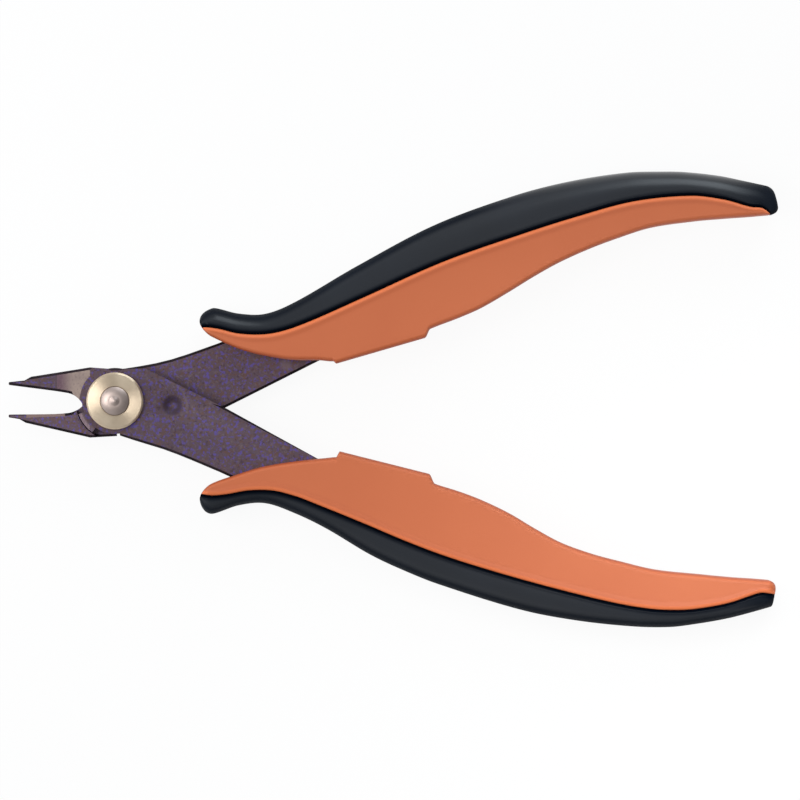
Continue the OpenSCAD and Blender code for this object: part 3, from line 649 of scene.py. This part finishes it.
def orange_material(look):
    """Hard orange moulding: slow blotches, a painted highlight on the bead beside the seam, painted shade
    in the dip behind it, painted shade along the inner edge and a fine grain."""
    material, tree, shader = new_material("moulded_orange", Specular_IOR_Level=0.5)
    soft = grain(tree, size=0.22, blotch=14.0)
    # The paler orange is the colour of the painted highlight on the bead
    pale = scaled(look.orange, 1.35, 1.3, 1.2)
    # The darker orange serves both the random blotches and the painted shade
    dark = scaled(look.orange, 0.78, 0.62, 0.5)
    # Painted shade in the dip behind the bead
    valley_shade = near_mask(tree, "from_seam", full=0.8, gone=2.0)
    # Painted highlight along the bead beside the seam
    bead = near_mask(tree, "from_seam", full=0.25, gone=0.9)
    # Painted shade along the inner edge, where the face turns away
    inner_edge_shade = near_mask(tree, "from_edge", full=0.1, gone=0.45)
    colour = blend(tree, product(tree, soft["Tone"], 0.16), look.orange, dark)
    colour = blend(tree, product(tree, valley_shade, 0.25), colour, dark)
    colour = blend(tree, bead, colour, pale)
    colour = blend(tree, inner_edge_shade, colour, dark)
    rough = rough_range(tree, soft["Height"], 0.45, 0.65)
    finish(tree, shader, colour, rough, soft["Height"], strength=0.3)
    return material


def black_material(look):
    """Soft black moulding: painted shade, blue-black, in the groove, dull at the back line and at the tail,
    and a soft gloss on the crown, which grows along the grip and also covers the back line where the palm
    polishes the upper grip, over a fine matt grain."""
    material, tree, shader = new_material("soft_black", Specular_IOR_Level=0.03, Coat_Roughness=0.3)
    soft = grain(tree, size=0.3, blotch=11.0)
    # The blue-black is the colour of the painted shade in the groove
    groove = scaled(look.black, 0.1, 0.3, 0.5)
    dull = scaled(look.black, 1.5, 1.5, 1.5)
    # Near the seam the colour takes painted shade and the coat is left off
    in_groove = near_mask(tree, "from_seam", full=0.4, gone=1.3)
    back_line = near_mask(tree, "from_edge", full=0.8, gone=1.8)
    tail = near_mask(tree, "from_tail", full=1.0, gone=10.0)
    colour = blend(tree, product(tree, soft["Tone"], 0.5), look.black, dull)
    colour = blend(tree, in_groove, colour, groove)
    palm = product(tree, axis_mask(tree, "X", *PALM_X), axis_mask(tree, "Y", *PALM_Y))
    dull_line = product(tree, back_line, maths(tree, "SUBTRACT", 1.0, palm))
    bare = largest(tree, in_groove, dull_line, tail)
    polish = axis_mask(tree, "X", *POLISH_X, to_low=0.68, to_high=0.95)
    gloss = product(tree, polish, maths(tree, "SUBTRACT", 1.0, bare))
    tree.links.new(gloss, shader.inputs["Coat Weight"])
    rough = rough_range(tree, soft["Height"], 0.5, 0.7)
    finish(tree, shader, colour, rough, soft["Height"], strength=0.25)
    return material


def oxide_material(look, name, tone):
    """Dark oxide on rolled steel: brown, light, deep and violet specks over a dull ground, painted shade on
    the walls of the pressed dimple around its plain floor, painted highlights as a crescent on the lapped
    shoulder and as an arc beside the dimple, one lighter spot and a fine tooth."""
    material, tree, shader = new_material(name, Metallic=0.15, Specular_IOR_Level=0.25)
    soft = grain(tree, size=0.3, blotch=6.0)
    # A tone above 1 paints the oxide lighter, to offset the shade that falls on the bottom blade
    oxide, brown, violet = (scaled(c, tone, tone, tone) for c in (look.oxide, look.brown, look.violet))
    light, deep = scaled(oxide, 1.25, 1.35, 1.2), scaled(oxide, 0.66, 0.6, 0.66)
    # pale is the colour of the painted highlights and the lighter spot, dark that of the painted shade in the
    # dimple
    pale, dark = scaled(oxide, 1.6, 1.8, 1.6), scaled(oxide, 0.4, 0.35, 0.5)
    colour = blend(tree, soft["Tone"], oxide, scaled(oxide, 0.88, 0.88, 0.9))
    for size, least, softness, seed, speck in (
            (0.6, 0.46, 0.22, 0.0, brown), (0.5, 0.52, 0.22, 3.0, light),
            (0.5, 0.54, 0.2, 5.0, deep), (0.5, 0.51, 0.19, 7.0, violet)):
        colour = blend(tree, speck_mask(tree, size, least, softness, seed), colour, speck)
    # Painted shade on the walls of the dimple; its floor keeps the plain oxide
    wall, floor = spot_mask(tree, DIMPLE, full=1.4, gone=2.1), spot_mask(tree, DIMPLE, full=0.4, gone=1.0)
    colour = blend(tree, product(tree, maths(tree, "SUBTRACT", wall, floor), 0.75), colour, dark)
    # Painted highlight: a crescent on the lapped shoulder, on its lower left side only
    reach = axis_reach(tree)[1]
    inside, outside = remap(tree, reach, *CRESCENT_IN), remap(tree, reach, *CRESCENT_OUT)
    crescent = product(tree, maths(tree, "SUBTRACT", inside, outside),
                       axis_mask(tree, "Y", *CRESCENT_Y), axis_mask(tree, "X", *CRESCENT_X))
    # Painted highlight: an arc beside the dimple
    arc = product(tree, ring_mask(tree, HIGHLIGHT_ARC, inner=ARC_R, outer=ARC_R, fade=ARC_FADE),
                  axis_mask(tree, "X", *ARC_X), axis_mask(tree, "Y", *ARC_Y), 0.6)
    # The painted highlights and one lighter spot, all painted in the paler oxide
    highlights_and_spot = largest(tree, crescent, spot_mask(tree, PALE_SPOT, full=0.5, gone=1.4), arc)
    colour = blend(tree, product(tree, highlights_and_spot, 0.6), colour, pale)
    rough = rough_range(tree, soft["Height"], 0.42, 0.7)
    finish(tree, shader, colour, rough, soft["Height"], strength=0.4)
    return material


def edge_material(look):
    """Blackened broken edge of the plates."""
    material, tree, shader = new_material("black_edge", Metallic=0.3, Specular_IOR_Level=0.15)
    soft = grain(tree, size=0.4, blotch=3.0)
    colour = blend(tree, soft["Tone"], scaled(look.oxide, 0.1, 0.1, 0.1), scaled(look.oxide, 0.3, 0.3, 0.3))
    finish(tree, shader, colour, rough_range(tree, soft["Height"], 0.5, 0.8))
    return material


def ground_material(look):
    """Ground steel: fine scratches across the jaw, brown specks, oxide that comes back towards the lip of the
    upper jaw and on the lapped flange, and a redder strip along the lower jaw."""
    material, tree, shader = new_material("ground_steel", Metallic=0.35, Specular_IOR_Level=0.4)
    place = add(tree, "TexCoord").outputs["Object"]
    stretched = add(tree, "Mapping", {"Vector": place, "Scale": SCRATCHES}).outputs[0]
    lines = add(tree, "TexNoise", {"Vector": stretched, "Scale": 1.0, "Detail": 3.0}).outputs["Fac"]
    soft = grain(tree, size=0.5, blotch=2.5)
    specks = speck_mask(tree, size=0.4, least=0.48, soft=0.24, seed=2.0)
    bloom, strip = scaled(look.ground, 0.45, 0.42, 0.52), scaled(look.ground, 1.05, 0.92, 0.98)
    lip = axis_mask(tree, "X", *BLOOM_X)
    lower_jaw = axis_mask(tree, "Y", *LOWER_JAW_Y)
    flange = product(tree, lower_jaw, axis_mask(tree, "X", *FLANGE_X))
    colour = blend(tree, product(tree, soft["Tone"], 0.35), look.ground, bloom)
    colour = blend(tree, product(tree, specks, 0.5), colour, bloom)
    colour = blend(tree, lip, colour, scaled(look.oxide, 0.95, 0.75, 0.8))
    colour = blend(tree, lower_jaw, colour, strip)
    colour = blend(tree, flange, colour, scaled(look.oxide, 1.7, 1.75, 1.6))
    finish(tree, shader, colour, rough_range(tree, lines, 0.35, 0.6), lines, strength=0.25, depth=0.01)
    return material


def turned_material(name, bright, smooth, rough, **values):
    """Turned steel: rings about the pivot as a bump and in the roughness, slow stains, and a highlight that
    can be stretched across the rings."""
    material, tree, shader = new_material(name, Metallic=1.0, **values)
    flat, reach = axis_reach(tree)
    turns = product(tree, reach, RINGS)
    noise = add(tree, "TexNoise", {"W": turns, "Scale": 1.0, "Detail": 2.0}, noise_dimensions="1D")
    rings = noise.outputs["Fac"]
    across = add(tree, "VectorMath", {0: flat}, operation="NORMALIZE").outputs[0]
    tree.links.new(across, shader.inputs["Tangent"])
    soft = grain(tree, size=0.5, blotch=2.0)
    stain = scaled(bright, 0.78, 0.75, 0.72)
    colour = blend(tree, product(tree, soft["Tone"], 0.5), bright, stain)
    finish(tree, shader, colour, rough_range(tree, rings, smooth, rough), rings, strength=0.2, depth=0.01)
    return material


def spring_material(look):
    """Drawn spring wire: grey steel with a faint blotch."""
    material, tree, shader = new_material("spring_wire", Metallic=1.0)
    soft = grain(tree, size=0.2, blotch=1.5)
    pale, dark = scaled(look.bright, 0.58, 0.62, 0.8), scaled(look.bright, 0.35, 0.38, 0.48)
    colour = blend(tree, soft["Tone"], pale, dark)
    finish(tree, shader, colour, rough_range(tree, soft["Height"], 0.25, 0.45))
    return material


class NIPPERS_OT_grip_bodies(Operator):
    """Builds the two hard orange grip mouldings"""

    bl_idname = "nippers.grip_bodies"
    bl_label = "Grip bodies"

    def execute(self, context):
        look = context.scene.nipper_grips
        material = orange_material(look)
        for name in GRIPS:
            piece = make_grip("body", name, look)
            piece.data.materials.append(material)
        return {"FINISHED"}


class NIPPERS_OT_grip_backs(Operator):
    """Builds the two soft black grip mouldings"""

    bl_idname = "nippers.grip_backs"
    bl_label = "Grip backs"

    def execute(self, context):
        look = context.scene.nipper_grips
        material = black_material(look)
        for name in GRIPS:
            piece = make_grip("back", name, look)
            piece.data.materials.append(material)
        return {"FINISHED"}


class NIPPERS_OT_blades(Operator):
    """Builds the two blades with broken edges, ground jaw faces and dark oxide"""

    bl_idname = "nippers.blades"
    bl_label = "Blades"

    def execute(self, context):
        look = context.scene.nipper_steel
        edge, ground_steel = edge_material(look), ground_material(look)
        for node, body, tone in BLADES:
            piece = eased_copy(node, node + "_steel", look.edge_break)
            mesh = piece.data
            for steel in (oxide_material(look, node + "_oxide", tone), edge, ground_steel):
                mesh.materials.append(steel)
            count = len(mesh.polygons)
            normal, middle = np.zeros(count * 3), np.zeros(count * 3)
            mesh.polygons.foreach_get("normal", normal)
            mesh.polygons.foreach_get("center", middle)
            up, along = np.abs(normal[2::3]), middle[0::3] / MM
            ground = (along < RAMP_X) & (up < LEVEL) & (up > WALL)
            lip = (along < LIP_ROOT_X) & (up > WALL)
            index = np.where(lip, 1, np.where(ground, 2, 0)).astype(np.int32)
            mesh.polygons.foreach_set("material_index", index)
            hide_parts(node)
            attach(piece, body)
        return {"FINISHED"}


class NIPPERS_OT_pivot(Operator):
    """Builds the turned rivet and its two washers"""

    bl_idname = "nippers.pivot"
    bl_label = "Pivot"

    def execute(self, context):
        bright = context.scene.nipper_steel.bright
        washer_steel = turned_material("turned_washer", bright, smooth=0.34, rough=0.42, Anisotropic=0.9)
        rivet_bright = scaled(bright, 0.65, 0.65, 0.8)
        rivet_steel = turned_material("turned_rivet", rivet_bright, smooth=0.34, rough=0.46)
        low, high = (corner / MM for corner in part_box("top_washer"))
        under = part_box("bottom_washer")[0] / MM
        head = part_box("pivot_rivet")[1] / MM
        rim, rim_z, end = high.x, high.z - CONE, head.z - NIB_H
        washer = [(BORE_R, low.z), (rim, low.z), (rim, rim_z - RIM_CHAMFER), (rim - RIM_CHAMFER, rim_z),
                  (BORE_R + BORE_CHAMFER, high.z), (BORE_R, high.z - BORE_CHAMFER)]
        lower = [(r, under.z + high.z - z) for r, z in washer]
        shares = np.linspace(1, 0, DOME_POINTS)
        dome = np.stack([NIB_R + (SHANK_R - NIB_R) * shares, end - CROWN * shares ** 2], axis=-1)
        rivet = [(0, 0), (head.x - HEAD_EASE, 0), (head.x, HEAD_EASE), (head.x, under.z), (SHANK_R, under.z),
                 *dome.tolist(), (NIB_R / 4, head.z), (0, head.z)]
        for name, node, corners, material in (
                ("washer_top", "top_washer", washer, washer_steel),
                ("washer_under", "bottom_washer", lower, washer_steel),
                ("rivet", "pivot_rivet", rivet, rivet_steel)):
            piece = revolve(name, corners)
            piece.data.materials.append(material)
            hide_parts(node)
            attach(piece, "upper_handle")
        return {"FINISHED"}


class NIPPERS_OT_spring(Operator):
    """Builds the return spring, a ring of wire between the blades"""

    bl_idname = "nippers.spring"
    bl_label = "Return spring"

    def execute(self, context):
        mesh, work = merged_copy("return_spring", "wire_ring")
        work.to_mesh(mesh)
        work.free()
        mesh.shade_smooth()
        mesh.materials.append(spring_material(context.scene.nipper_steel))
        piece = placed("wire_ring", mesh)
        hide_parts("return_spring")
        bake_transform(piece)
        return {"FINISHED"}


def area_lamp(name, place, target, size, power, colour=(1, 1, 1), spread=180):
    """Square lamp at a place, turned to a target, whose light fans out by the spread in degrees."""
    data = bpy.data.lights.new(name, "AREA")
    data.size, data.energy, data.color, data.spread = size, power, colour, math.radians(spread)
    lamp = placed(name, data)
    lamp.location = place
    lamp.rotation_euler = (target - lamp.location).to_track_quat("-Z", "Y").to_euler()
    lamp.visible_camera = False


def pale_floor(look):
    """Floor material: matt and pale for light that bounces, mostly plain white for rays from the camera,
    mirrors and glass."""
    material, tree, shader = new_material("pale_floor", Roughness=0.9, Specular_IOR_Level=0.1)
    shader.inputs["Base Color"].default_value = (*look.floor, 1.0)
    path = add(tree, "LightPath").outputs
    seen = maths(tree, "MAXIMUM", path["Is Camera Ray"], path["Is Glossy Ray"])
    seen = maths(tree, "MAXIMUM", seen, path["Is Transmission Ray"])
    share = maths(tree, "MULTIPLY", seen, look.floor_glow)
    glow = add(tree, "Emission", {"Color": WHITE, "Strength": 1.0})
    mixed = add(tree, "MixShader", {0: share, 1: shader.outputs[0], 2: glow.outputs[0]})
    tree.links.new(mixed.outputs[0], tree.nodes["Material Output"].inputs["Surface"])
    return material


def pale_room(look):
    """World: soft light, stronger ahead of the jaws than behind the grips, so that metal shows light and
    dark, and seen as plain white by the camera. The share is 1 - swing x."""
    world = bpy.data.worlds.new("pale_room")
    world.use_nodes = True
    tree = world.node_tree
    soft = tree.nodes["Background"]
    soft.inputs["Color"].default_value = ROOM_COLOUR
    way = add(tree, "TexCoord").outputs["Generated"]
    along = add(tree, "SeparateXYZ", {0: way}).outputs["X"]
    level = remap(tree, along, -1.0, 1.0, look.room * (1 + look.swing), look.room * (1 - look.swing), False)
    tree.links.new(level, soft.inputs["Strength"])
    white = add(tree, "Background", {"Color": WHITE, "Strength": 1.0})
    seen = add(tree, "LightPath").outputs["Is Camera Ray"]
    mixed = add(tree, "MixShader", {0: seen, 1: soft.outputs[0], 2: white.outputs[0]})
    tree.links.new(mixed.outputs[0], tree.nodes["World Output"].inputs["Surface"])
    return world


class NIPPERS_OT_stage(Operator):
    """Builds the pale floor, the soft lamps, the world and the camera"""

    bl_idname = "nippers.stage"
    bl_label = "Stage"

    def execute(self, context):
        scene, look = context.scene, context.scene.nipper_stage
        centre = look.view_centre.copy()
        scene.view_settings.view_transform = "Standard"
        scene.world = pale_room(look)
        signs = ((-1, -1), (1, -1), (1, 1), (-1, 1))
        corners = [(x * FLOOR_REACH, y * FLOOR_REACH, FLOOR_Z) for x, y in signs]
        mesh = bpy.data.meshes.new("floor")
        mesh.from_pydata(corners, [], [(0, 1, 2, 3)])
        mesh.materials.append(pale_floor(look))
        placed("floor", mesh)
        area_lamp("key_lamp", KEY_PLACE, centre, KEY_SIZE, look.key_power, KEY_COLOUR)
        area_lamp("near_lamp", NEAR_PLACE, NEAR_TARGET, NEAR_SIZE, look.near_power, spread=NEAR_SPREAD)
        area_lamp("left_lamp", LEFT_PLACE, centre, LEFT_SIZE, look.left_power)
        data = bpy.data.cameras.new("camera")
        data.lens, data.sensor_width, data.clip_end = LENS_MM, SENSOR_MM, SIGHT
        camera = placed("camera", data)
        camera.location = centre
        camera.location.z += look.view_width * data.lens / data.sensor_width
        scene.camera = camera
        return {"FINISHED"}


STEPS = ("stage", "grip_bodies", "grip_backs", "blades", "pivot", "spring")


class NIPPERS_PT_sidebar(Panel):
    """Lists the steps and the values that they use"""

    bl_idname = "NIPPERS_PT_sidebar"
    bl_label = "End Cutting Nippers"
    bl_space_type = "VIEW_3D"
    bl_region_type = "UI"
    bl_category = "Nippers"

    def draw(self, context):
        for step in STEPS:
            self.layout.operator("nippers." + step)
        for look in (context.scene.nipper_grips, context.scene.nipper_steel, context.scene.nipper_stage):
            box = self.layout.box()
            for key in look.__annotations__:
                box.prop(look, key)


CLASSES = (GripLook, SteelLook, StageLook, NIPPERS_OT_grip_bodies, NIPPERS_OT_grip_backs, NIPPERS_OT_blades,
           NIPPERS_OT_pivot, NIPPERS_OT_spring, NIPPERS_OT_stage, NIPPERS_PT_sidebar)


def register():
    """Registers the classes, and hangs the three sets of values on the scene."""
    for made in CLASSES:
        bpy.utils.register_class(made)
    bpy.types.Scene.nipper_grips = PointerProperty(type=GripLook)
    bpy.types.Scene.nipper_steel = PointerProperty(type=SteelLook)
    bpy.types.Scene.nipper_stage = PointerProperty(type=StageLook)


def unregister():
    """Undoes what register does."""
    del bpy.types.Scene.nipper_grips, bpy.types.Scene.nipper_steel, bpy.types.Scene.nipper_stage
    for made in reversed(CLASSES):
        bpy.utils.unregister_class(made)


def main():
    """Runs the steps in order."""
    register()
    for step in STEPS:
        getattr(bpy.ops.nippers, step)()
    bpy.context.view_layer.update()


if __name__ == "__main__":
    main()
